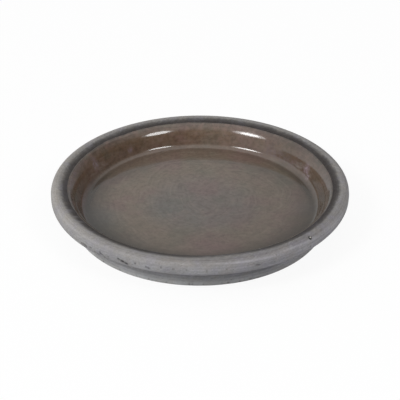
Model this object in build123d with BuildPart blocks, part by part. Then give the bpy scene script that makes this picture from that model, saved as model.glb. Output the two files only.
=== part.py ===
from build123d import *
import math
import os

# A plant saucer turned in one piece of clay, raw outside and glazed inside.
# Millimetres and degrees. The turning axis is Z, and the foot stands on z = 0.

# Whole saucer
rim_diameter = 250.0
overall_height = 33.0

# Rolled rim: a thick band with a round top, which overhangs the foot
roll_height = 13.3
roll_overhang = 18.5
roll_top_radius = 5.75
roll_bottom_radius = 4.6
bare_band_slope = 16.0

# Foot wall, which leans outward as it rises to the roll
foot_lean = 11.5
under_roll_radius = 4.0
foot_edge_radius = 1.5

# Underside: a shallow recess inside a flat foot ring
foot_ring_width = 9.0
recess_depth = 3.0
recess_wall_lean = 45.0
recess_corner_radius = 2.5

# Inside: flat floor, tight cove, leaning wall, round shoulder and a softer lip above it
floor_height = 11.8
cove_radius = 5.6
wall_lean = 20.0
shoulder_radius = 14.0
shoulder_slope = 45.0
shoulder_flat = 1.9
lip_radius = 7.0
lip_slope = 20.0
lip_flat = 0.2

# Glaze: a thin layer on the floor, wall and shoulder, up to a bare band of clay
glaze_edge_inset = 13.7
glaze_thickness = 0.4

# One stray drop of glaze that was fired on to the front of the roll
drop_diameter = 3.6
drop_height = 0.9
drop_bearing = -44.7
drop_tilt = 52.8

right_angle = 90.0


def tan(angle):
    return math.tan(math.radians(angle))


def sin(angle):
    return math.sin(math.radians(angle))


def cos(angle):
    return math.cos(math.radians(angle))


# The bare band runs down the inside of the roll, tangent to the roll's round top
rim_radius = rim_diameter / 2
roll_top_centre_radius = rim_radius - roll_top_radius
roll_top_centre_height = overall_height - roll_top_radius
band_reach = roll_top_radius * (1 + sin(bare_band_slope)) / cos(bare_band_slope)
roll_corner = (rim_radius, roll_top_centre_height + band_reach)
band_drop = glaze_edge_inset * tan(bare_band_slope)
glaze_edge = (rim_radius - glaze_edge_inset, roll_corner[1] - band_drop)

# The lip's curve ends just short of the glaze edge
lip_bend = lip_radius * tan((shoulder_slope - lip_slope) / 2)
lip_reach = lip_bend + lip_flat
lip_corner = (
    glaze_edge[0] - lip_reach * cos(lip_slope),
    glaze_edge[1] - lip_reach * sin(lip_slope),
)

# Below the lip a short slope runs to the shoulder's curve, and the wall runs down from it
shoulder_turn = right_angle - wall_lean - shoulder_slope
shoulder_reach = lip_bend + shoulder_flat + shoulder_radius * tan(shoulder_turn / 2)
shoulder_corner = (
    lip_corner[0] - shoulder_reach * cos(shoulder_slope),
    lip_corner[1] - shoulder_reach * sin(shoulder_slope),
)
wall_run = (shoulder_corner[1] - floor_height) * tan(wall_lean)
cove_corner = (shoulder_corner[0] - wall_run, floor_height)
floor_centre = (0, floor_height)

# Outside, from the roll down to the foot and in to the middle of the underside
roll_bottom = overall_height - roll_height
roll_low_corner = (rim_radius, roll_bottom)
foot_radius = rim_radius - roll_overhang
under_roll_corner = (foot_radius + roll_bottom * tan(foot_lean), roll_bottom)
foot_edge = (foot_radius, 0)
foot_ring_radius = foot_radius - foot_ring_width
foot_ring_edge = (foot_ring_radius, 0)
recess_corner = (foot_ring_radius - recess_depth * tan(recess_wall_lean), recess_depth)
recess_centre = (0, recess_depth)


def round_corner(section, corner, radius):
    """Round the corner of a sketch or line that lies nearest to the given point."""
    nearest = section.vertices().sort_by_distance(Vector(*corner))[0]
    fillet(nearest, radius)


# Glaze lining: the finished surface, thickened into the clay
with BuildPart() as glaze_lining:
    with BuildSketch(Plane.XZ) as lining_section:
        with BuildLine() as inside_line:
            Polyline(floor_centre, cove_corner, shoulder_corner, lip_corner, glaze_edge)
            round_corner(inside_line, cove_corner, cove_radius)
            round_corner(inside_line, shoulder_corner, shoulder_radius)
            round_corner(inside_line, lip_corner, lip_radius)
            offset(amount=glaze_thickness, side=Side.RIGHT)
        make_face()
    revolve(axis=Axis.Z)
glaze_lining.part.label = "glaze_lining"

# Clay body: one turned section, less the layer that the glaze takes up
with BuildPart() as clay_body:
    with BuildSketch(Plane.XZ) as body_section:
        with BuildLine():
            Polyline(
                floor_centre,
                cove_corner,
                shoulder_corner,
                lip_corner,
                glaze_edge,
                roll_corner,
                roll_low_corner,
                under_roll_corner,
                foot_edge,
                foot_ring_edge,
                recess_corner,
                recess_centre,
                close=True,
            )
        make_face()
        round_corner(body_section, cove_corner, cove_radius)
        round_corner(body_section, shoulder_corner, shoulder_radius)
        round_corner(body_section, lip_corner, lip_radius)
        round_corner(body_section, roll_corner, roll_top_radius)
        round_corner(body_section, roll_low_corner, roll_bottom_radius)
        round_corner(body_section, under_roll_corner, under_roll_radius)
        round_corner(body_section, foot_edge, foot_edge_radius)
        round_corner(body_section, foot_ring_edge, foot_edge_radius)
        round_corner(body_section, recess_corner, recess_corner_radius)
    revolve(axis=Axis.Z)
    add(glaze_lining.part, mode=Mode.SUBTRACT)
clay_body.part.label = "clay_body"

# Glaze drop: a low dome whose base takes the roll's own curve
drop_sphere_radius = (drop_diameter**2 / 4 + drop_height**2) / (2 * drop_height)
drop_centre_reach = roll_top_radius + drop_height - drop_sphere_radius
drop_centre_radius = roll_top_centre_radius + drop_centre_reach * cos(drop_tilt)
drop_centre = (
    drop_centre_radius * cos(drop_bearing),
    drop_centre_radius * sin(drop_bearing),
    roll_top_centre_height + drop_centre_reach * sin(drop_tilt),
)
with BuildPart() as rim_glaze_drop:
    with Locations(drop_centre):
        Sphere(drop_sphere_radius)
    add(clay_body.part, mode=Mode.SUBTRACT)
rim_glaze_drop.part.label = "rim_glaze_drop"

os.makedirs("parts", exist_ok=True)
export_step(clay_body.part, "parts/clay_body.step")
export_step(glaze_lining.part, "parts/glaze_lining.step")
export_step(rim_glaze_drop.part, "parts/rim_glaze_drop.step")
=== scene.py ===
import math
import random

import bpy
import numpy as np
from mathutils import Matrix, Vector


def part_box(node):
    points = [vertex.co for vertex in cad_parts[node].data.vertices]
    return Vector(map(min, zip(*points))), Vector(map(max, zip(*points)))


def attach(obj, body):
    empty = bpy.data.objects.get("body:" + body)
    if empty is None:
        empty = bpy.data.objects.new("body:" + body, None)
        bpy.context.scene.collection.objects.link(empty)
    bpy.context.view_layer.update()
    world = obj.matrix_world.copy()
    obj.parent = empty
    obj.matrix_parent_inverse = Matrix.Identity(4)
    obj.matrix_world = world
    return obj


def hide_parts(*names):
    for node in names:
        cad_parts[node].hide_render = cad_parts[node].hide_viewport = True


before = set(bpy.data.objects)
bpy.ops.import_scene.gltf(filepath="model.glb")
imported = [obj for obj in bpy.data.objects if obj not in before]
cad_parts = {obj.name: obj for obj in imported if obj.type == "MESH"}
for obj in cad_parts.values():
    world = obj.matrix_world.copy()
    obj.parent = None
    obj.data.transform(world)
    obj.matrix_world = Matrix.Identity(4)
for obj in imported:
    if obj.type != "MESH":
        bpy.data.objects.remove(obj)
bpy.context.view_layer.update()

# A turned plant saucer: raw grey clay outside, brown glaze inside.
# Metres and radians, except where a comment or docstring says millimetres or degrees. The overall
# sizes come from the frame.
MM = 0.001

# Section of the saucer, the same as in the part's source
rim_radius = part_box("clay_body")[1].x
overall_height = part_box("clay_body")[1].z
glaze_thickness = 0.4 * MM
floor_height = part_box("glaze_lining")[0].z + glaze_thickness
roll_height = 13.3 * MM
roll_overhang = 18.5 * MM
roll_top_radius = 5.75 * MM
roll_bottom_radius = 4.6 * MM
bare_band_slope = math.radians(16)
foot_lean = math.radians(11.5)
under_roll_radius = 4.0 * MM
foot_edge_radius = 1.5 * MM
foot_ring_width = 9.0 * MM
recess_depth = 3.0 * MM
recess_wall_lean = math.radians(45)
recess_corner_radius = 2.5 * MM
cove_radius = 5.6 * MM
wall_lean = math.radians(20)
shoulder_radius = 14.0 * MM
shoulder_slope = math.radians(45)
shoulder_flat = 1.9 * MM
lip_radius = 7.0 * MM
lip_slope = math.radians(20)
lip_flat = 0.2 * MM
glaze_edge_inset = 13.7 * MM

# Fineness of the turned meshes
points_around = 896
hidden_points_around = 224
fewest_around = 56
path_step = 0.1 * MM
fine_step = 0.6 * MM
band_step = 0.8 * MM
floor_step = 1.2 * MM
hidden_step = 2.0 * MM


# Section lines
def straight(start, end):
    """Close, even points from the start up to, but without, the end."""
    count = math.ceil((end - start).length / path_step)
    return [start.lerp(end, k / count) for k in range(count)]


def rounded_path(corners, radii):
    """Close, even points along straight runs whose inner corners are rounded by arcs."""
    corners = [Vector(corner) for corner in corners]
    points = []
    start = corners[0]
    for before, here, after, radius in zip(corners, corners[1:], corners[2:], radii):
        back = (before - here).normalized()
        ahead = (after - here).normalized()
        half = back.angle(ahead) / 2
        reach = radius / math.tan(half)
        centre = here + (back + ahead).normalized() * radius / math.sin(half)
        spoke = here + back * reach - centre
        end_spoke = here + ahead * reach - centre
        points += straight(start, centre + spoke)
        turn = math.pi - 2 * half
        if spoke.cross(end_spoke) < 0:
            turn = -turn
        count = math.ceil(abs(turn) * radius / path_step)
        for k in range(count):
            points.append(centre + Matrix.Rotation(turn * k / count, 2) @ spoke)
        start = centre + end_spoke
    points += straight(start, corners[-1])
    points.append(corners[-1])
    return np.array([tuple(point) for point in points])


class Section:
    """A section line, read at any distance along it."""

    def __init__(self, corners, radii):
        self.path = rounded_path(corners, radii)
        runs = np.linalg.norm(np.diff(self.path, axis=0), axis=1)
        self.lengths = np.concatenate([[0], np.cumsum(runs)])
        self.length = self.lengths[-1]
        ahead = np.gradient(self.path, axis=0)
        self.ahead = ahead / np.linalg.norm(ahead, axis=1)[:, None]

    def at(self, places):
        """Points of the line, and its unit directions ahead and outward there."""
        point, ahead = (
            np.stack([np.interp(places, self.lengths, column) for column in table.T], axis=-1)
            for table in (self.path, self.ahead)
        )
        outward = np.stack([-ahead[..., 1], ahead[..., 0]], axis=-1)
        return point, ahead, outward

    def place_of_radius(self, radius):
        """Where the line first reaches the radius."""
        return float(self.lengths[np.argmax(self.path[:, 0] >= radius)])

    def place_of_height(self, height):
        """Where the line first falls to the height after its highest point."""
        top = int(np.argmax(self.path[:, 1]))
        return float(self.lengths[top + np.argmax(self.path[top:, 1] <= height)])


def stations(*runs):
    """Distances from zero on, each run given as its end and its step."""
    places = []
    start = 0.0
    for end, step in runs:
        count = max(1, round((end - start) / step))
        places += [start + (end - start) * k / count for k in range(count)]
        start = end
    return np.array(places + [start])


def smooth(share):
    """A share held between 0 and 1, and eased at both ends."""
    share = np.clip(share, 0, 1)
    return share * share * (3 - 2 * share)


# Corners of the section, worked out from its sizes
roll_centre_height = overall_height - roll_top_radius
band_reach = roll_top_radius * (1 + math.sin(bare_band_slope)) / math.cos(bare_band_slope)
roll_corner = (rim_radius, roll_centre_height + band_reach)
glaze_edge = (
    rim_radius - glaze_edge_inset,
    roll_corner[1] - glaze_edge_inset * math.tan(bare_band_slope),
)
lip_bend = lip_radius * math.tan((shoulder_slope - lip_slope) / 2)
lip_reach = lip_bend + lip_flat
lip_corner = (
    glaze_edge[0] - lip_reach * math.cos(lip_slope),
    glaze_edge[1] - lip_reach * math.sin(lip_slope),
)
shoulder_turn = math.pi / 2 - wall_lean - shoulder_slope
shoulder_reach = lip_bend + shoulder_flat + shoulder_radius * math.tan(shoulder_turn / 2)
shoulder_corner = (
    lip_corner[0] - shoulder_reach * math.cos(shoulder_slope),
    lip_corner[1] - shoulder_reach * math.sin(shoulder_slope),
)
wall_run = (shoulder_corner[1] - floor_height) * math.tan(wall_lean)
cove_corner = (shoulder_corner[0] - wall_run, floor_height)
roll_bottom = overall_height - roll_height
roll_low_corner = (rim_radius, roll_bottom)
foot_radius = rim_radius - roll_overhang
under_roll_corner = (foot_radius + roll_bottom * math.tan(foot_lean), roll_bottom)
foot_ring_radius = foot_radius - foot_ring_width
recess_corner = (foot_ring_radius - recess_depth * math.tan(recess_wall_lean), recess_depth)

inside = Section(
    [(0, floor_height), cove_corner, shoulder_corner, lip_corner, glaze_edge],
    [cove_radius, shoulder_radius, lip_radius],
)
outside = Section(
    [
        glaze_edge,
        roll_corner,
        roll_low_corner,
        under_roll_corner,
        (foot_radius, 0),
        (foot_ring_radius, 0),
        recess_corner,
        (0, recess_depth),
    ],
    [
        roll_top_radius,
        roll_bottom_radius,
        under_roll_radius,
        foot_edge_radius,
        foot_edge_radius,
        recess_corner_radius,
    ],
)
cove_place = inside.place_of_radius(cove_corner[0] - cove_radius)


# Unevenness left by hand and fire
ridge_count = 7
ridge_drifts = (0.5, 1.5)
ridge_drift_waves = (1, 3)


def wander(angle, seed, waves, size):
    """A closed uneven curve: waves round the saucer, the shorter ones smaller."""
    lowest, highest = waves
    draw = random.Random(seed)
    total = np.zeros_like(angle)
    power = 0
    for k in range(lowest, highest + 1):
        share = (k - lowest + 1) ** -0.5
        total += share * np.cos(k * angle + draw.uniform(0, 2 * math.pi))
        power += share**2
    return size * total / math.sqrt(power)


def turning_marks(place, angle, seed, lengths, size):
    """Low ridges from the potter's fingers, some of them one spiral, drifting with the angle."""
    shortest, longest = lengths
    draw = random.Random(seed)
    total = np.zeros_like(angle)
    for k in range(ridge_count):
        length = shortest * (longest / shortest) ** (k / (ridge_count - 1))
        phase = draw.uniform(0, 2 * math.pi)
        spiral = draw.choice([-1, 0, 1])
        drift = draw.uniform(*ridge_drifts)
        drift = drift * np.cos(draw.randint(*ridge_drift_waves) * angle + phase)
        total += np.cos(2 * math.pi * place / length + spiral * angle + drift + phase)
    return size * total / math.sqrt(ridge_count)


def turn_from(angle, bearing):
    """Angles seen from a bearing in degrees, between half a turn back and half a turn on."""
    return (angle - math.radians(bearing) + math.pi) % (2 * math.pi) - math.pi


def stretched(angle, stretches):
    """Sum of stretches, each its amount at its bearing and fading over its spread in degrees."""
    total = np.zeros_like(angle)
    for bearing, spread, amount in stretches:
        total += amount * np.exp(-((turn_from(angle, bearing) / math.radians(spread)) ** 2))
    return total


def marked(place, angle, marks, tilt=0.0):
    """How deep in a mark each point lies, from 0 to 1.

    A mark is its bearing in degrees, then its place along the section, its length round the
    saucer and its width across it in millimetres, then its strength.
    """
    total = np.zeros_like(angle)
    for bearing, middle, length, width, strength in marks:
        down = place / MM - middle
        if abs(down) > length + width:
            continue
        across = turn_from(angle, bearing) * rim_radius / MM
        along = across * math.cos(tilt) + down * math.sin(tilt)
        aside = down * math.cos(tilt) - across * math.sin(tilt)
        total += strength * np.exp(-((2 * along / length) ** 4) - (2 * aside / width) ** 2)
    return np.clip(total, 0, 1)


def moved(point, outward, stand, ahead=(0, 0), slide=0.0):
    """Radius and height of a section point that is moved outward and along the line."""
    radius = point[0] + outward[0] * stand + ahead[0] * slide
    height = point[1] + outward[1] * stand + ahead[1] * slide
    return np.maximum(radius, 0), height


# Turned meshes
def ring_size(radius, most):
    """Points in a ring: halved towards the middle, so that faces stay even."""
    if radius < path_step:
        return 1
    count = most
    while count > fewest_around and radius * most < rim_radius * count / 2:
        count //= 2
    return count


def bridge(near, far):
    """Faces from one ring of points to the next, whose counts divide one another."""
    if len(far) > len(near):
        return [face[::-1] for face in bridge(far, near)]
    step = len(near) // len(far)
    faces = []
    for k, here in enumerate(far):
        after = far[(k + 1) % len(far)]
        edge = [near[(k * step + j) % len(near)] for j in range(step + 1)]
        if len(far) == 1:
            faces += [(here, b, a) for a, b in zip(edge, edge[1:])]
        else:
            faces.append((after, *edge[::-1], here))
    return faces


def new_piece(name, vertices, faces, attributes):
    """An object with a smooth mesh, whose points hold the values of the named attributes."""
    mesh = bpy.data.meshes.new(name)
    mesh.from_pydata(vertices, [], faces)
    mesh.shade_smooth()
    for attribute, values in attributes.items():
        stored = mesh.attributes.new(attribute, "FLOAT", "POINT")
        stored.data.foreach_set("value", values)
    piece = bpy.data.objects.new(name, mesh)
    bpy.context.scene.collection.objects.link(piece)
    return piece


def turned(name, counts, shape, attributes):
    """A closed turned body: rings of points that run out from the axis and back to it.

    shape(row, angle) gives the radii and heights of a row, then its attributes' values.
    """
    vertices = []
    faces = []
    values = []
    last_ring = []
    for row, count in enumerate(counts):
        angle = np.arange(count) * 2 * math.pi / count
        radius, height, *extra = shape(row, angle)
        if count == 1:
            radius = np.zeros(1)
        ring = list(range(len(vertices), len(vertices) + count))
        x = radius * np.cos(angle)
        y = radius * np.sin(angle)
        vertices += zip(x.tolist(), y.tolist(), height.tolist())
        values.append(extra)
        if last_ring:
            faces += bridge(last_ring, ring)
        last_ring = ring
    columns = [np.concatenate(column) for column in zip(*values)]
    return new_piece(name, vertices, faces, dict(zip(attributes, columns)))


# Glaze lining: its edge is a rounded, wavering bead that laps on to the bare clay
bead_rise = 0.10 * MM
bead_reach = 5.0 * MM
bead_round = 0.45 * MM
bead_step = 0.09 * MM
tuck = 0.02 * MM
lap = 1.2 * MM
lap_ramp = 2.4 * MM
edge_sway = 0.22 * MM
edge_ripple = 0.15 * MM
floor_ridge = 0.011 * MM
wall_ridge_share = 0.10
ridge_lengths = (3.0 * MM, 11.0 * MM)
inside_sag = 0.10 * MM
calm_reach = 12.0 * MM

# How thick the glaze lies on the floor, with painted shade, as shares of the most: everywhere,
# more towards the low side, and before the cove, most at the front and left, where the glaze
# collected and a painted shadow of the front and left walls lies
pool_low_side = math.radians(-45)
pool_share = 0.15
pool_slope_share = 0.2
gathered_and_shade_start = 68.0 * MM
gathered_and_shade_share = 0.43
gathered_and_shade_front_share = 0.35
gathered_and_shade_left_share = 0.15
pool_and_shade_most_share = 0.85

# Stretches of the wall darkened by painted shade: bearing and spread in degrees, then amount
shaded_wall_sides = [
    (176, 28, 0.24),
    (135, 14, 0.22),
    (106, 12, 0.10),
    (45, 16, 0.22),
    (8, 36, 0.34),
    (-75, 56, 0.85),
    (-134, 22, 0.60),
]

# Stretches of a thin dark line of painted shade along the foot of the wall
cove_shade_lines = [(164, 16, 0.70), (128, 26, 0.14), (85, 50, 0.10), (46, 22, 0.24), (17, 15, 0.50)]
cove_shade_width = 3.2 * MM

# Stretches of a broader dark ring on the floor, a painted reflection of the wall, which lies nearer
# the axis at the back
wall_reflection_rings = [(50, 30, 0.24), (93, 14, 0.05), (138, 32, 0.26)]
wall_reflection_place = 77.5 * MM
wall_reflection_drift = 12.0 * MM
wall_reflection_width = 6.0 * MM

# Painted glints and reflections on the wall, in patches and in strips along the cove and the lip
painted_glints = [
    (151.5, 110.8, 9.0, 9.0, 0.7),
    (127.5, 106.6, 6.0, 5.0, 0.6),
    (25.4, 107.0, 9.0, 9.0, 1.2),
    (22.6, 102.6, 5.0, 5.0, 0.8),
    (44.0, 105.0, 50.0, 10.0, 0.24),
    (178.0, 99.2, 74.0, 4.0, 0.24),
    (178.0, 118.8, 96.0, 4.4, 0.30),
]

# Tints of the glaze, as x, y and spread in millimetres, then how pink or, below zero, how blue
tints = [
    (6, -62, 24, 0.9),
    (-27, -7, 22, -0.5),
    (7, 15, 18, 0.4),
    (36, -14, 22, -0.4),
    (7, -33, 20, -0.6),
    (-90, -24, 22, -1.0),
    (94, -8, 16, -0.6),
    (-54, -62, 18, -0.3),
    (48, 44, 18, 0.3),
]


def inside_relief(place, angle):
    """How far the fired surface inside stands off its section line."""
    ridges = turning_marks(place, angle, seed=11, lengths=ridge_lengths, size=floor_ridge)
    up_wall = smooth((place - cove_place) / calm_reach)
    ridges = ridges * (1 - (1 - wall_ridge_share) * up_wall)
    sag = wander(angle, seed=12, waves=(2, 5), size=inside_sag) * place / inside.length
    return smooth(place / calm_reach) * (ridges + sag)


def edge_slide(place, angle):
    """How far the glaze's edge has run up or down the clay."""
    near = smooth((place - inside.length + bead_reach) / bead_reach)
    sway = wander(angle, seed=13, waves=(2, 9), size=edge_sway)
    ripple = wander(angle, seed=14, waves=(10, 60), size=edge_ripple)
    return near * (sway + ripple)


def lap_depth(place):
    """Share of the lining's thickness by which its underside lies in the clay."""
    return smooth((inside.length - lap - place) / lap_ramp)


def pooling_and_shade(place, angle):
    """How thick the glaze lies, with painted shade and reflection: it ran to the low side and
    collected before the cove, and shade and a reflection of the wall are painted on the floor and
    wall.
    """
    out = min(place / cove_place, 1)
    downhill = pool_share + pool_slope_share * out * np.cos(angle - pool_low_side)
    # Before the cove: glaze collected there, and a painted shadow of the front and left walls
    sides = gathered_and_shade_share - gathered_and_shade_front_share * np.sin(angle)
    sides = sides - gathered_and_shade_left_share * np.cos(angle)
    gathered_and_shaded = smooth((place - gathered_and_shade_start) / (cove_place - gathered_and_shade_start)) * sides
    up_wall = smooth((place - cove_place) / calm_reach)
    from_cove = place - cove_place
    # A thin line of painted shade along the foot of the wall
    line = stretched(angle, cove_shade_lines) * math.exp(-((from_cove / cove_shade_width) ** 2))
    # A painted reflection of the wall on the floor, nearer the axis at the back
    from_ring = place - wall_reflection_place - wall_reflection_drift * (1 - np.sin(angle))
    ring = stretched(angle, wall_reflection_rings) * np.exp(-((from_ring / wall_reflection_width) ** 2))
    on_floor = np.clip(downhill + gathered_and_shaded + line + ring, 0, pool_and_shade_most_share)
    # Painted shade on the wall, by bearing
    return on_floor * (1 - up_wall) + up_wall * stretched(angle, shaded_wall_sides)


def tinted(radius, angle):
    """How pink or blue the glaze looks at each point."""
    total = np.zeros_like(angle)
    for x, y, spread, amount in tints:
        away = np.hypot(radius * np.cos(angle) / MM - x, radius * np.sin(angle) / MM - y)
        total += amount * np.exp(-((away / spread) ** 2))
    return total


hidden_places = stations((inside.length - 2 * lap_ramp, hidden_step), (inside.length, fine_step))
top_places = stations(
    (cove_place, floor_step),
    (inside.length - bead_round, fine_step),
    (inside.length, bead_step),
)
to_edge = inside.length - top_places
bead_fall = np.clip(1 - to_edge / bead_round, 0, 1)
bead_lift = bead_rise * smooth(1 - to_edge / bead_reach)
bead_lift = bead_lift - (bead_rise + tuck) * (1 - np.sqrt(1 - bead_fall**2))
under_places = hidden_places[::-1][1:]
under_lift = -tuck - glaze_thickness * lap_depth(under_places)
lining_places = np.concatenate([top_places, under_places])
lining_lift = np.concatenate([bead_lift, under_lift])
lining_points, lining_ahead, lining_outward = inside.at(lining_places)


def lining_shape(row, angle):
    """Radii and heights of a row of the lining, then its attributes' values."""
    place = lining_places[row]
    stand = lining_lift[row] + inside_relief(place, angle)
    slide = edge_slide(place, angle)
    along = np.full_like(angle, place / MM)
    radius, height = moved(lining_points[row], lining_outward[row], stand, lining_ahead[row], slide)
    # Painted glints and reflections on the wall
    glinted = marked(place, angle, painted_glints)
    return radius, height, along, pooling_and_shade(place, angle), tinted(radius, angle), glinted


top_points, under_points = np.split(lining_points, [len(top_places)])
lining_counts = [ring_size(point[0], points_around) for point in top_points]
lining_counts += [ring_size(point[0], hidden_points_around) for point in under_points]
lining_attributes = ("along", "pooled_and_shaded", "tint", "glinted")
lining_skin = turned("lining_skin", lining_counts, lining_shape, lining_attributes)
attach(lining_skin, "root")
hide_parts("glaze_lining")

# Clay body: a pocket under the glaze, then the bare band, the roll, the foot and the underside
clay_ridge = 0.035 * MM
clay_ridge_lengths = (1.8 * MM, 8.0 * MM)
clay_sway = 0.12 * MM
ground_clear = 3.0 * MM
band_blend = 4.0 * MM
pocket_gap = 0.05 * MM

# Scuffs on the roll
scuffs = [
    (-133.5, 19.0, 1.6, 1.6, 0.5),
    (-129.0, 19.3, 1.2, 2.4, 0.8),
    (-120.6, 18.8, 2.8, 1.4, 1.0),
    (-119.0, 19.8, 3.4, 1.9, 1.3),
    (-117.4, 21.0, 3.0, 2.0, 1.3),
    (-113.8, 18.5, 1.5, 1.6, 0.9),
    (-109.6, 19.6, 1.6, 1.4, 0.8),
    (-108.6, 20.4, 2.0, 1.4, 0.9),
    (-104.0, 17.8, 1.5, 1.5, 0.7),
    (-99.6, 18.0, 1.6, 2.0, 0.5),
    (-94.8, 18.1, 1.6, 1.4, 0.6),
    (-87.6, 18.5, 1.3, 2.4, 0.5),
    (-80.5, 18.0, 1.4, 1.4, 0.5),
    (-68.9, 18.4, 4.4, 1.3, 0.7),
    (-45.3, 19.4, 1.2, 2.4, 0.5),
    (-26.0, 17.2, 1.6, 1.2, 0.6),
]
scuff_depth = 0.3 * MM
scuff_tilt = math.radians(10)

# A patch of short scratches low on the roll's left
scratch_bearings = (-139.0, -125.0)
scratch_places = (19.4, 23.4)
scratch_lengths = (1.2, 2.8)
scratch_strengths = (0.3, 0.8)
scratch_width = 1.0
scratch_count = 30
scratch_draw = random.Random(31)
for _ in range(scratch_count):
    spans = (scratch_bearings, scratch_places, scratch_lengths)
    place_and_length = [scratch_draw.uniform(*span) for span in spans]
    strength = scratch_draw.uniform(*scratch_strengths)
    scuffs.append((*place_and_length, scratch_width, strength))

# Nicks in the foot's edge, a few degrees apart all round
nick_place = 54.9
nick_pitch = 4.4
nick_sways = (-2.1, 2.1)
nick_lengths = (1.0, 2.0)
nick_widths = (2.4, 4.2)
nick_strengths = (0.0, 0.8)
nick_draw = random.Random(32)
for k in range(round(360 / nick_pitch)):
    bearing = k * nick_pitch + nick_draw.uniform(*nick_sways)
    spans = (nick_lengths, nick_widths, nick_strengths)
    size_and_strength = [nick_draw.uniform(*span) for span in spans]
    scuffs.append((bearing, nick_place, *size_and_strength))

# Pale rubbed marks on the clay, and painted highlights along the roll's upper shoulder
smudges_and_highlights = [
    (-71.0, 14.0, 56.0, 1.7, 0.50),
    (-50.0, 13.6, 40.0, 2.4, 0.40),
    (-30.0, 15.0, 30.0, 6.0, 0.22),
    (-47.0, 19.6, 26.0, 5.0, 0.26),
    (-157.0, 4.2, 4.0, 5.0, 0.10),
    (-151.5, 3.8, 3.2, 5.0, 0.13),
    (-147.0, 4.4, 3.6, 5.0, 0.12),
    (-46.0, 48.5, 50.0, 8.0, 0.52),
    (-126.0, 49.6, 34.0, 3.4, 0.52),
]
smudge_and_highlight_tilt = math.radians(2)

# Browner stretches beside the dark band
browns = [(-56.0, 9.6, 150.0, 8.4, 0.34), (-102.0, 11.4, 120.0, 6.0, 0.22)]

# Stretches of the rim, then how far each is made paler by painted light or, below zero, darker by
# painted shade
painted_side_light = [(-166, 38, 0.60), (132, 40, 0.5), (80, 30, 0.3), (-54, 32, -1.0)]
side_light_start = 5.0 * MM
side_light_full = 9.0 * MM

# Stretches, then by how many millimetres the dark band beside the glaze is narrowed
band_cuts = [
    (-80, 21, 3.2),
    (-115, 18, 0.9),
    (-170, 26, 1.0),
    (142, 40, 1.2),
    (80, 30, 0.5),
    (12, 30, -0.8),
]
band_cut_end = 9.0 * MM

# Out of round: the roll is pressed in at one side, and the foot stands wide and off centre
roll_presses = [(-31, 24, 0.7 * MM)]
foot_spread = 0.12 * MM
foot_shift = 1.05 * MM
foot_shift_bearing = math.radians(-120)

# Where the outside changes, along the section from the glaze edge
roll_end = outside.place_of_height(roll_bottom + roll_bottom_radius)
under_roll_end = outside.place_of_height(roll_bottom - under_roll_radius)
foot_end = outside.place_of_height(foot_edge_radius) + foot_ring_width
underside_start = foot_end + recess_depth
scuffed_start = 16.0 * MM
scuffed_end = 25.0 * MM
foot_wall_end = 46.0 * MM
outside_places = stations(
    (scuffed_start, band_step),
    (scuffed_end, fine_step),
    (foot_wall_end, floor_step),
    (underside_start, fine_step),
    (outside.length, hidden_step),
)
pocket_places = hidden_places[:-1]
clay_places = np.concatenate([pocket_places - inside.length, outside_places])
pocket = inside.at(pocket_places)
shell = outside.at(outside_places)
clay_points, _, clay_outward = (np.concatenate(pair) for pair in zip(pocket, shell))


def out_of_round(place, radius, angle):
    """How far a point outside lies further from the axis than on a true circle."""
    under_roll = smooth((place - roll_end) / (under_roll_end - roll_end))
    pressed = stretched(angle, roll_presses) * smooth(place / roll_end) * (1 - under_roll)
    wide = foot_spread + foot_shift * np.cos(angle - foot_shift_bearing)
    return under_roll * smooth(radius / recess_corner[0]) * wide - pressed


def pocket_stand(place, angle):
    """How far the clay under the glaze stands off the section line inside."""
    place = place + inside.length
    return inside_relief(place, angle) - (glaze_thickness + pocket_gap) * lap_depth(place)


def shell_stand(place, height, angle):
    """How far the bare clay stands off the section line outside."""
    ridges = turning_marks(place, angle, seed=21, lengths=clay_ridge_lengths, size=clay_ridge)
    sway = wander(angle, seed=22, waves=(2, 6), size=clay_sway)
    own = smooth(height / ground_clear) * (ridges + sway)
    own = own * smooth((outside.length - place) / calm_reach)
    blend = smooth(place / band_blend)
    return blend * own + (1 - blend) * inside_relief(inside.length, angle)


def clay_shape(row, angle):
    """Radii and heights of a row of the clay, then its attributes' values."""
    place = clay_places[row]
    point = clay_points[row]
    scuffed = smudged_and_lit = browned = off_round = np.zeros_like(angle)
    if place < 0:
        stand = pocket_stand(place, angle)
    else:
        scuffed = marked(place, angle, scuffs, scuff_tilt)
        # Pale rubbed marks, and painted highlights along the roll's upper shoulder
        smudged_and_lit = marked(place, angle, smudges_and_highlights, smudge_and_highlight_tilt)
        browned = marked(place, angle, browns)
        off_round = out_of_round(place, point[0], angle)
        stand = shell_stand(place, point[1], angle) - scuff_depth * scuffed
    from_edge = place / MM + stretched(angle, band_cuts) * (1 - smooth(place / band_cut_end))
    # Painted light and shade round the rim, by bearing
    side_light = stretched(angle, painted_side_light) * smooth((place - side_light_start) / (side_light_full - side_light_start))
    radius, height = moved(point, clay_outward[row], stand)
    return radius + off_round, height, from_edge, scuffed, smudged_and_lit, browned, side_light


clay_counts = [ring_size(point[0], hidden_points_around) for point in pocket[0]]
for place, point in zip(outside_places, shell[0]):
    most = hidden_points_around if place > underside_start else points_around
    clay_counts.append(ring_size(point[0], most))
clay_attributes = ("from_edge", "scuffed", "smudged_and_lit", "browned", "side_light")
clay_skin = turned("clay_skin", clay_counts, clay_shape, clay_attributes)
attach(clay_skin, "root")
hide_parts("clay_body")


# Glaze drop on the roll: a low dome with a round edge, sunk a little into the clay
drop_diameter = 3.6 * MM
drop_height = 0.9 * MM
drop_bearing = math.radians(-44.7)
drop_tilt = math.radians(52.8)
drop_sink = 0.15 * MM
drop_dome_power = 0.7
drop_edge_power = 4
drop_spokes = 48
drop_rings = 16


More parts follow.
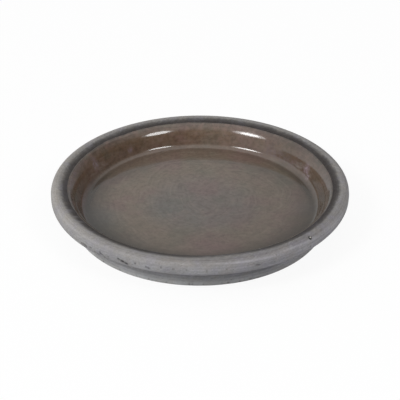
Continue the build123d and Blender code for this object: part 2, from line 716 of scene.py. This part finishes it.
def drop_seat():
    """The drop's own frame: on the uneven roll at its bearing, with Z square to the roll."""
    seat = Vector((rim_radius - roll_top_radius, roll_centre_height))
    seat += roll_top_radius * Vector((math.cos(drop_tilt), math.sin(drop_tilt)))
    row = int(np.argmin(np.linalg.norm(clay_points - np.array(seat), axis=1)))
    radius, height = (float(value[0]) for value in clay_shape(row, np.array([drop_bearing]))[:2])
    turn = Matrix.Rotation(drop_bearing, 4, "Z")
    tip = Matrix.Rotation(math.pi / 2 - drop_tilt, 4, "Y")
    return turn @ Matrix.Translation((radius, 0, height)) @ tip


def drop_dome():
    """Rings of the dome from its middle out to its sunken edge, closed by a point below."""
    points = []
    centred = []
    for k in range(drop_rings + 1):
        share = math.sin(math.pi / 2 * k / drop_rings)
        out = share * drop_diameter / 2
        rise = drop_height * (1 - share**2) ** drop_dome_power - drop_sink * share**drop_edge_power
        fall = roll_top_radius - math.sqrt(roll_top_radius**2 - out**2)
        for j in range(drop_spokes if k else 1):
            spoke = 2 * math.pi * j / drop_spokes
            height = rise - fall * math.cos(spoke) ** 2
            points.append((out * math.cos(spoke), out * math.sin(spoke), height))
            centred.append(1 - share)
    rings = [[0]]
    for first in range(1, len(points), drop_spokes):
        rings.append(list(range(first, first + drop_spokes)))
    rings.append([len(points)])
    points.append((0, 0, -drop_sink))
    centred.append(0.0)
    faces = [face for near, far in zip(rings, rings[1:]) for face in bridge(near, far)]
    seat = drop_seat()
    vertices = [tuple(seat @ Vector(point)) for point in points]
    return new_piece("drop_dome", vertices, faces, {"centred": centred})


drop_skin = drop_dome()
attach(drop_skin, "root")
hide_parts("rim_glaze_drop")


# Materials
def tone(red, green, blue):
    """A colour given as screen values from 0 to 255."""
    shares = [value / 255 for value in (red, green, blue)]
    linear = [s / 12.92 if s < 0.04045 else ((s + 0.055) / 1.055) ** 2.4 for s in shares]
    return (*linear, 1.0)


class Tree:
    """Short calls that build a node tree."""

    def __init__(self, tree):
        self.tree = tree

    def add(self, kind, settings=None, inputs=None):
        node = self.tree.nodes.new(kind)
        for key, value in (settings or {}).items():
            setattr(node, key, value)
        for key, value in (inputs or {}).items():
            self.put(node.inputs[key], value)
        return node

    def put(self, socket, value):
        if isinstance(value, bpy.types.NodeSocket):
            self.tree.links.new(value, socket)
        else:
            socket.default_value = value

    def calc(self, operation, first, second=0.0, third=0.0):
        inputs = {0: first, 1: second, 2: third}
        return self.add("ShaderNodeMath", {"operation": operation}, inputs).outputs[0]

    def vector(self, operation, inputs):
        node = self.add("ShaderNodeVectorMath", {"operation": operation}, inputs)
        return node.outputs["Value" if operation == "LENGTH" else "Vector"]

    def split(self, vector):
        return self.add("ShaderNodeSeparateXYZ", {}, {"Vector": vector}).outputs

    def join(self, x, y, z=0.0):
        inputs = {"X": x, "Y": y, "Z": z}
        return self.add("ShaderNodeCombineXYZ", {}, inputs).outputs["Vector"]

    def ramp(self, value, low, high, start=0.0, end=1.0):
        """start where the value is at or under low, end where it is at or over high."""
        settings = {"interpolation_type": "SMOOTHSTEP"}
        inputs = {"Value": value, "From Min": low, "From Max": high, "To Min": start, "To Max": end}
        return self.add("ShaderNodeMapRange", settings, inputs).outputs["Result"]

    def spread(self, value, start, full, most):
        """0 where the value is at start or beyond it, up to most where it is at full."""
        if full < start:
            return self.ramp(value, full, start, most, 0.0)
        return self.ramp(value, start, full, 0.0, most)

    def mix(self, share, first, second):
        node = self.add("ShaderNodeMix", {"data_type": "RGBA"}, {0: share, 6: first, 7: second})
        return node.outputs[2]

    def layered(self, colour, values, layers, weight=None):
        """The colour with tones laid over it, one for each layer.

        A layer is the name of its value, the value where it starts and the one where it is
        full, its share there, and its tone.
        """
        for name, start, full, most, over in layers:
            share = self.spread(values[name], start, full, most)
            if weight is not None:
                share = self.calc("MULTIPLY", share, weight)
            colour = self.mix(share, colour, tone(*over))
        return colour

    def bands(self, place, stops):
        """Tones that run into one another, each given with its place in rising order."""
        first, last = stops[0][0], stops[-1][0]
        inputs = {"Value": place, "From Min": first, "From Max": last}
        share = self.add("ShaderNodeMapRange", {}, inputs).outputs["Result"]
        node = self.add("ShaderNodeValToRGB", {}, {"Fac": share})
        marks = node.color_ramp.elements
        marks[1].position = 1.0
        marks[1].color = tone(*stops[-1][1])
        marks[0].color = tone(*stops[0][1])
        for here, colour in stops[1:-1]:
            marks.new((here - first) / (last - first)).color = tone(*colour)
        return node.outputs["Color"]


class Finish(Tree):
    """The node tree of one material, with noise and bumps laid out over the object."""

    def __init__(self, name):
        self.material = bpy.data.materials.new(name)
        self.material.use_nodes = True
        super().__init__(self.material.node_tree)
        self.shader = self.tree.nodes["Principled BSDF"]
        self.place = self.add("ShaderNodeTexCoord").outputs["Object"]

    def finish(self, inputs):
        for key, value in inputs.items():
            self.put(self.shader.inputs[key], value)
        return self.material

    def noise(self, size, detail=3.0, roughness=0.55, vector=None):
        """Soft noise whose largest features are about the given size across."""
        inputs = {"Scale": 1 / size, "Detail": detail, "Roughness": roughness}
        inputs["Vector"] = self.place if vector is None else vector
        return self.add("ShaderNodeTexNoise", {}, inputs).outputs["Fac"]

    def noises(self, table):
        return {name: self.noise(*settings) for name, settings in table.items()}

    def attribute(self, name):
        return self.add("ShaderNodeAttribute", {"attribute_name": name}).outputs["Fac"]

    def stray(self, size, reach):
        """The place on the object, shifted unevenly by up to about half the reach."""
        inputs = {"Vector": self.place, "Scale": 1 / size, "Detail": 2.0}
        noise = self.add("ShaderNodeTexNoise", {}, inputs).outputs["Color"]
        return self.vector("MULTIPLY_ADD", {0: noise, 1: (reach, reach, 0.0), 2: self.place})

    def section_vector(self, sway, sway_size, centre=(0, 0, 0), place=None, start=0.0):
        """Radius and height as a vector, so that noise on it runs in rings about a centre."""
        place = self.place if place is None else place
        x, y, height = self.split(self.vector("SUBTRACT", {0: place, 1: centre}))
        radius = self.vector("LENGTH", {0: self.join(x, y)})
        drift = self.calc("MULTIPLY_ADD", self.noise(sway_size, detail=2.0), sway, start)
        return self.join(radius, height, drift)

    def crossing_vector(self, along, squeeze, slant):
        """Place round the saucer, and a slanted and squeezed distance along the section.

        Noise on it runs across the turning marks.
        """
        x, y, _ = self.split(self.place)
        spoke = self.vector("NORMALIZE", {0: self.join(x, y)})
        inputs = {"Vector": spoke, "Angle": self.calc("MULTIPLY", along, slant)}
        slanted = self.add("ShaderNodeVectorRotate", {"rotation_type": "Z_AXIS"}, inputs)
        at_rim = self.vector("SCALE", {0: slanted.outputs["Vector"], "Scale": rim_radius})
        x, y, _ = self.split(at_rim)
        return self.join(x, y, self.calc("MULTIPLY", along, squeeze))

    def bump(self, height, distance, normal=None):
        inputs = {"Height": height, "Distance": distance}
        if normal is not None:
            inputs["Normal"] = normal
        return self.add("ShaderNodeBump", {}, inputs).outputs["Normal"]


# Most of a noise lies between these values
noise_low = 0.3
noise_high = 0.7

# The clay's tones, by millimetres out from the glaze edge along the section; the darker tone at
# 45.5 is painted shade under the roll
clay_tones = [
    (0.0, (42, 37, 35)),
    (1.4, (46, 41, 39)),
    (3.2, (60, 56, 54)),
    (4.8, (74, 71, 69)),
    (6.0, (104, 101, 97)),
    (7.1, (137, 134, 131)),
    (8.6, (137, 134, 131)),
    (11.8, (131, 127, 124)),
    (13.6, (151, 148, 146)),
    (15.6, (156, 154, 154)),
    (18.5, (151, 150, 151)),
    (22.5, (146, 145, 147)),
    (27.0, (132, 132, 134)),
    (43.0, (132, 132, 134)),
    # Painted shade under the roll
    (45.5, (120, 119, 121)),
    (47.5, (140, 140, 141)),
    (50.0, (166, 166, 167)),
    (52.5, (188, 188, 188)),
    (55.0, (206, 206, 205)),
    (60.0, (178, 176, 173)),
]
browned_clay = (92, 88, 84)
smudge_and_highlight_clay = (196, 194, 200)
scuffed_clay = (50, 48, 47)
scuffed_share = 0.95

# Unevenness in the clay: the size of its largest features, then the noise's detail and roughness
clay_patch = 30.0 * MM
clay_hue = 9.0 * MM
clay_ragged = 3.0 * MM
clay_mottle = 2.0 * MM
clay_speck = 1.5 * MM
clay_grain = 0.7 * MM
clay_noises = {
    "patches": (clay_patch, 4.0),
    "hues": (clay_hue, 3.0),
    "ragged": (clay_ragged, 4.0),
    "mottle": (clay_mottle, 3.0, 0.6),
    "specks": (clay_speck, 2.0),
    "grain": (clay_grain, 3.0, 0.6),
}

# Streaks along the turning marks, which sway slowly up and down the section
broad_streak = 2.4 * MM
broad_sway = 5.0 * MM
broad_start = 35.0 * MM
fine_streak = 0.8 * MM
fine_sway = 4.0 * MM
sway_size = 70.0 * MM

# Streaks across the turning marks: their slant is in radians for each millimetre along the
# section, and they fade out under the foot, between two places in millimetres
cross_streak = 1.5 * MM
cross_squeeze = 0.22 * MM
cross_slant = 0.012
cross_fade_start = 56.0
cross_fade_end = 62.0
middle_grey = (0.5, 0.5, 0.5, 1.0)

# How far the bands of tones stray, in millimetres, and where they lie clear of the dark band
ragged_low = 0.25
ragged_high = 0.75
ragged_reach = 0.45
drift_reach = 0.4
clear_start = 3.0
clear_full = 7.0
clear_least_share = 0.2

# Tones laid over the clay: painted light and shade on the rim's stretches, on all that is clear of
# the band, then on all
side_light_layers = [
    ("side_light", 0.0, 1.0, 0.42, (178, 171, 160)),
    ("side_light", 0.0, -1.0, 0.26, (84, 80, 98)),
]
clear_layers = [
    ("patches", 0.40, 0.70, 0.22, (98, 94, 94)),
    ("hues", 0.50, 0.66, 0.20, (138, 134, 152)),
    ("hues", 0.50, 0.34, 0.16, (146, 134, 120)),
    ("broad", 0.46, 0.66, 0.18, (172, 171, 173)),
    ("broad", 0.52, 0.34, 0.16, (80, 78, 80)),
    ("fine", 0.50, 0.68, 0.18, (180, 179, 181)),
    ("crossing", 0.52, 0.68, 0.14, (184, 182, 184)),
    ("crossing", 0.48, 0.32, 0.12, (78, 76, 78)),
    ("mottle", 0.50, 0.68, 0.10, (186, 183, 182)),
    ("mottle", 0.50, 0.32, 0.10, (84, 81, 80)),
]
grain_layers = [
    ("grain", 0.45, 0.70, 0.30, (92, 89, 88)),
    ("specks", 0.66, 0.72, 0.45, (70, 66, 66)),
]
streak_relief = 0.06 * MM
grain_relief = 0.08 * MM
clay_roughness = (0.82, 0.95)
clay_specular = 0.25


def clay_streaks(clay, from_edge):
    """Streaks along the turning marks, broad and fine, and others across them."""
    across = clay.crossing_vector(from_edge, cross_squeeze, cross_slant)
    crossing = clay.noise(cross_streak, detail=3.0, roughness=0.6, vector=across)
    past_foot = clay.ramp(from_edge, cross_fade_start, cross_fade_end)
    broad_rings = clay.section_vector(broad_sway, sway_size, start=broad_start)
    fine_rings = clay.section_vector(fine_sway, sway_size)
    return {
        "broad": clay.noise(broad_streak, detail=2.0, roughness=0.5, vector=broad_rings),
        "fine": clay.noise(fine_streak, detail=3.0, roughness=0.6, vector=fine_rings),
        "crossing": clay.mix(past_foot, crossing, middle_grey),
    }


def raw_clay():
    """Raw clay: banded tones with painted shade under the roll and painted light and shade round
    the rim, under streaks, mottling and grain, with rubbed and scuffed marks and painted
    highlights.
    """
    clay = Finish("raw_clay_finish")
    from_edge = clay.attribute("from_edge")
    values = clay.noises(clay_noises) | clay_streaks(clay, from_edge)
    values["side_light"] = clay.attribute("side_light")
    ragged = clay.ramp(values["ragged"], ragged_low, ragged_high, -ragged_reach, ragged_reach)
    drift = clay.ramp(values["patches"], noise_low, noise_high, -drift_reach, drift_reach)
    reach = clay.calc("ADD", clay.calc("ADD", from_edge, ragged), drift)
    colour = clay.bands(reach, clay_tones)
    # Painted light and shade on the rim's stretches
    colour = clay.layered(colour, values, side_light_layers)
    colour = clay.mix(clay.attribute("browned"), colour, tone(*browned_clay))
    # Pale rubbed marks, and painted highlights along the roll's upper shoulder
    colour = clay.mix(clay.attribute("smudged_and_lit"), colour, tone(*smudge_and_highlight_clay))
    clear = clay.ramp(reach, clear_start, clear_full, clear_least_share)
    colour = clay.layered(colour, values, clear_layers, clear)
    colour = clay.layered(colour, values, grain_layers)
    scuffed = clay.calc("MULTIPLY", clay.attribute("scuffed"), scuffed_share)
    colour = clay.mix(scuffed, colour, tone(*scuffed_clay))
    relief = clay.bump(values["grain"], grain_relief, clay.bump(values["fine"], streak_relief))
    roughness = clay.ramp(values["grain"], noise_low, noise_high, *clay_roughness)
    return clay.finish(
        {
            "Base Color": colour,
            "Roughness": roughness,
            "Specular IOR Level": clay_specular,
            "Normal": relief,
        }
    )


# The glaze's tones, by millimetres from the axis along the section
glaze_tones = [
    (0.0, (108, 99, 94)),
    (36.0, (108, 99, 92)),
    (56.0, (110, 98, 85)),
    (76.0, (106, 93, 81)),
    (92.0, (104, 88, 76)),
    (99.0, (106, 88, 76)),
    (104.0, (116, 94, 79)),
    (112.0, (118, 96, 78)),
    (117.0, (107, 89, 77)),
    (120.4, (100, 86, 78)),
    (121.6, (58, 51, 46)),
]
pooled_and_shaded_glaze = (54, 49, 41)
glint_glaze = (140, 122, 128)

# Unevenness in the glaze: the size of its largest features, then the noise's detail and roughness
glaze_cloud = 45.0 * MM
glaze_hue = 26.0 * MM
brush_patch = 14.0 * MM
glaze_blotch = 8.0 * MM
glaze_ripple = 7.0 * MM
glaze_stain = 5.0 * MM
glaze_mottle = 2.6 * MM
glaze_speck = 1.0 * MM
glaze_noises = {
    "clouds": (glaze_cloud, 4.0, 0.5),
    "hues": (glaze_hue, 3.0, 0.5),
    "brushed": (brush_patch, 2.0),
    "blotches": (glaze_blotch, 3.0),
    "ripple": (glaze_ripple, 1.0),
    "stains": (glaze_stain, 3.0, 0.6),
    "mottle": (glaze_mottle, 3.0, 0.6),
    "specks": (glaze_speck, 2.0),
}

# Brush rings: each set has its centre, then the values of the patches between which it comes in
brush_ring = 2.4 * MM
brush_sway = 13.0 * MM
brush_length = 60.0 * MM
brush_swirl = 70.0 * MM
brush_stray = 24.0 * MM
brush_sets = [
    ((9.0 * MM, 11.0 * MM, 0), 0.46, 0.60),
    ((39.0 * MM, 31.0 * MM, 0), 0.56, 0.44),
]

# Tones laid over the glaze: broad ones, brush rings, fine ones, then stains on the wall
broad_layers = [
    ("clouds", 0.45, 0.70, 0.30, (122, 108, 96)),
    ("hues", 0.50, 0.68, 0.34, (112, 84, 84)),
    ("hues", 0.50, 0.32, 0.34, (84, 88, 74)),
    ("tint", 0.0, 1.0, 0.46, (116, 88, 90)),
    ("tint", 0.0, -1.0, 0.46, (86, 94, 96)),
    ("blotches", 0.50, 0.70, 0.22, (128, 114, 102)),
    ("blotches", 0.50, 0.30, 0.22, (74, 64, 58)),
]
brush_layers = [
    ("rings", 0.50, 0.70, 0.30, (128, 118, 106)),
    ("rings", 0.50, 0.32, 0.18, (70, 60, 52)),
]
speck_layers = [
    ("mottle", 0.40, 0.68, 0.30, (74, 62, 54)),
    ("specks", 0.62, 0.72, 0.26, (54, 44, 40)),
]
stain_layers = [
    ("stains", 0.50, 0.66, 0.34, (134, 108, 98)),
    ("stains", 0.50, 0.34, 0.24, (84, 66, 50)),
]

# Where the glaze changes, by millimetres from the axis along the section: the floor is smoother
# than the wall, the stains start on the wall, and the edge is dry
polish_start = 90.0
polish_end = 98.0
stained_start = 98.0
stained_full = 106.0
dry_start = 120.6
dry_full = 121.8
floor_roughness_share = 0.5
dry_roughness = 0.5
glaze_roughness = (0.07, 0.11)
glaze_ior = 1.68
# The painted glints come in patchily between these noise values, down to the least share
glint_low = 0.40
glint_high = 0.60
glint_least_share = 0.3
ripple_relief = 0.007 * MM


def brown_glaze():
    """Brown glaze: clouded and brushed tones, darker where it lies thick and where shade and a
    reflection of the wall are painted, with painted glints in patches.
    """
    glaze = Finish("brown_glaze_finish")
    along = glaze.attribute("along")
    values = glaze.noises(glaze_noises)
    values["tint"] = glaze.attribute("tint")
    colour = glaze.bands(along, glaze_tones)
    colour = glaze.layered(colour, values, broad_layers)
    swirl = glaze.stray(brush_swirl, brush_stray)
    for centre, low, high in brush_sets:
        rings = glaze.section_vector(brush_sway, brush_length, centre, swirl)
        values["rings"] = glaze.noise(brush_ring, detail=3.0, roughness=0.6, vector=rings)
        here = glaze.ramp(values["brushed"], low, high)
        colour = glaze.layered(colour, values, brush_layers, here)
    colour = glaze.layered(colour, values, speck_layers)
    on_wall = glaze.ramp(along, stained_start, stained_full)
    colour = glaze.layered(colour, values, stain_layers, on_wall)
    # Darker where the glaze lies thick, and painted shade and a painted reflection of the wall
    colour = glaze.mix(glaze.attribute("pooled_and_shaded"), colour, tone(*pooled_and_shaded_glaze))
    # Painted glints and reflections on the wall, in patches
    patchy = glaze.ramp(values["mottle"], glint_low, glint_high, glint_least_share)
    glinted = glaze.calc("MULTIPLY", glaze.attribute("glinted"), patchy)
    colour = glaze.mix(glinted, colour, tone(*glint_glaze))
    relief = glaze.bump(values["ripple"], ripple_relief)
    cloudy = glaze.ramp(values["clouds"], noise_low, noise_high, *glaze_roughness)
    polish = glaze.ramp(along, polish_start, polish_end, floor_roughness_share)
    dry_edge = glaze.ramp(along, dry_start, dry_full, 0.0, dry_roughness)
    roughness = glaze.calc("MULTIPLY_ADD", cloudy, polish, dry_edge)
    return glaze.finish(
        {"Base Color": colour, "Roughness": roughness, "IOR": glaze_ior, "Normal": relief}
    )


# The drop's finish: dark glaze with painted shade at its edge, and a painted highlight in its
# middle that starts and is full at shares of the way in from its edge
drop_fleck = 0.6 * MM
drop_fleck_share = 0.12
drop_highlight_start = 0.55
drop_highlight_full = 0.80
drop_glaze_and_shade_tone = (24, 22, 20)
drop_highlight_tone = (178, 174, 166)
drop_roughness = (0.10, 0.20)
drop_ior = 1.6


def drop_glaze():
    """The drop: dark glaze with painted shade at its edge, round a painted highlight in its middle.
    """
    glaze = Finish("drop_glaze_finish")
    flecks = glaze.noise(drop_fleck, detail=2.0)
    uneven = glaze.ramp(flecks, noise_low, noise_high)
    centred = glaze.calc("MULTIPLY_ADD", uneven, drop_fleck_share, glaze.attribute("centred"))
    # A painted highlight in the drop's middle, round dark glaze with painted shade at its edge
    middle = glaze.ramp(centred, drop_highlight_start, drop_highlight_full)
    colour = glaze.mix(middle, tone(*drop_glaze_and_shade_tone), tone(*drop_highlight_tone))
    roughness = glaze.ramp(flecks, noise_low, noise_high, *drop_roughness)
    return glaze.finish({"Base Color": colour, "Roughness": roughness, "IOR": drop_ior})


clay_skin.data.materials.append(raw_clay())
lining_skin.data.materials.append(brown_glaze())
drop_skin.data.materials.append(drop_glaze())

# Floor: white paper that keeps a light shadow
floor_reach = 6.0
floor_sides = ((-1, -1), (1, -1), (1, 1), (-1, 1))
floor_corners = [(x * floor_reach, y * floor_reach, 0) for x, y in floor_sides]
floor = new_piece("floor", floor_corners, [(0, 1, 2, 3)], {})
paper_white = (0.88, 0.88, 0.88, 1.0)
paper_lift = 0.92


def white_paper():
    """White paper: what the eye and a mirror see of it is lifted towards plain white."""
    paper = Finish("floor_paper")
    paper.finish({"Base Color": paper_white, "Roughness": 1.0, "Specular IOR Level": 0.0})
    glow = paper.add("ShaderNodeEmission", {}, {"Strength": 1.0})
    ray = paper.add("ShaderNodeLightPath").outputs
    seen = paper.calc("MAXIMUM", ray["Is Camera Ray"], ray["Is Glossy Ray"])
    seen = paper.calc("MAXIMUM", seen, ray["Is Transmission Ray"])
    lift = paper.calc("MULTIPLY", seen, paper_lift)
    inputs = {0: lift, 1: paper.shader.outputs[0], 2: glow.outputs[0]}
    blend = paper.add("ShaderNodeMixShader", {}, inputs)
    paper.put(paper.tree.nodes["Material Output"].inputs["Surface"], blend.outputs[0])
    return paper.material


floor.data.materials.append(white_paper())

# Studio light: two round softboxes, each a bright core inside a dimmer halo, as name, bearing in
# degrees, width and height, then radiance
lamp_distance = 2.8
lamp_elevation = math.radians(42)
left_bearing = -143
right_bearing = -45
lamps = [
    ("left_softbox", left_bearing, (0.78, 0.70), 15.0),
    ("left_softbox_halo", left_bearing, (1.26, 1.24), 3.8),
    ("right_softbox", right_bearing, (0.92, 0.96), 9.0),
    ("right_softbox_halo", right_bearing, (1.30, 1.26), 0.8),
]


def add_lamp(name, bearing, size, radiance):
    """A round soft lamp that faces the saucer."""
    light = bpy.data.lights.new(name, "AREA")
    light.shape = "ELLIPSE"
    light.size, light.size_y = size
    area = math.pi / 4 * light.size * light.size_y
    light.energy = radiance * math.pi * area
    turn = Matrix.Rotation(math.radians(bearing), 3, "Z")
    rise = Matrix.Rotation(-lamp_elevation, 3, "Y")
    direction = turn @ rise @ Vector((1, 0, 0))
    stand = bpy.data.objects.new(name, light)
    stand.location = lamp_distance * direction
    stand.rotation_euler = direction.to_track_quat("Z", "Y").to_euler()
    bpy.context.scene.collection.objects.link(stand)


for name, bearing, size, radiance in lamps:
    add_lamp(name, bearing, size, radiance)

# The room round the saucer: the walls' level, what it gains towards the back and towards the
# left, what the left side alone gains more, then the heights where wall turns into ceiling
black = (0.0, 0.0, 0.0, 1.0)
wall_paint = (0.96, 1.0, 1.04, 1.0)
ceiling_paint = (0.86, 0.86, 0.86, 1.0)
wall_level = 0.30
back_gain = 0.18
left_gain = 0.35
far_left_gain = 0.12
ceiling_start = 0.55
ceiling_full = 0.98


def studio_room():
    """A pale ceiling over dim walls, lightest on the left and behind, and dark on the right."""
    world = bpy.data.worlds.new("studio")
    world.use_nodes = True
    room = Tree(world.node_tree)
    direction = room.add("ShaderNodeTexCoord").outputs["Generated"]
    x, y, z = room.split(direction)
    far_left = room.calc("MAXIMUM", room.calc("MULTIPLY", x, -1.0), 0.0)
    side = room.calc("MULTIPLY_ADD", x, -left_gain, room.calc("MULTIPLY", far_left, far_left_gain))
    behind = room.calc("MULTIPLY_ADD", y, back_gain, wall_level)
    level = room.calc("MAXIMUM", room.calc("ADD", side, behind), 0.0)
    walls = room.mix(level, black, wall_paint)
    overhead = room.ramp(z, ceiling_start, ceiling_full)
    background = world.node_tree.nodes["Background"]
    room.put(background.inputs["Color"], room.mix(overhead, walls, ceiling_paint))
    return world


bpy.context.scene.world = studio_room()

# Camera, at the photograph's angle, with its lens in millimetres
camera_elevation = math.radians(30.66)
camera_distance = 1251.3 * MM
camera_lens = 133.2
turning_centre = Vector((0, 0, 16.9 * MM))
aim = Vector((0, 0, 15.25 * MM))
lens = bpy.data.cameras.new("camera")
lens.lens = camera_lens
camera = bpy.data.objects.new("camera", lens)
back = Vector((0, -math.cos(camera_elevation), math.sin(camera_elevation)))
camera.location = turning_centre + camera_distance * back
camera.rotation_euler = (camera.location - aim).to_track_quat("Z", "Y").to_euler()
bpy.context.scene.collection.objects.link(camera)
bpy.context.scene.camera = camera
bpy.context.scene.view_settings.view_transform = "Standard"
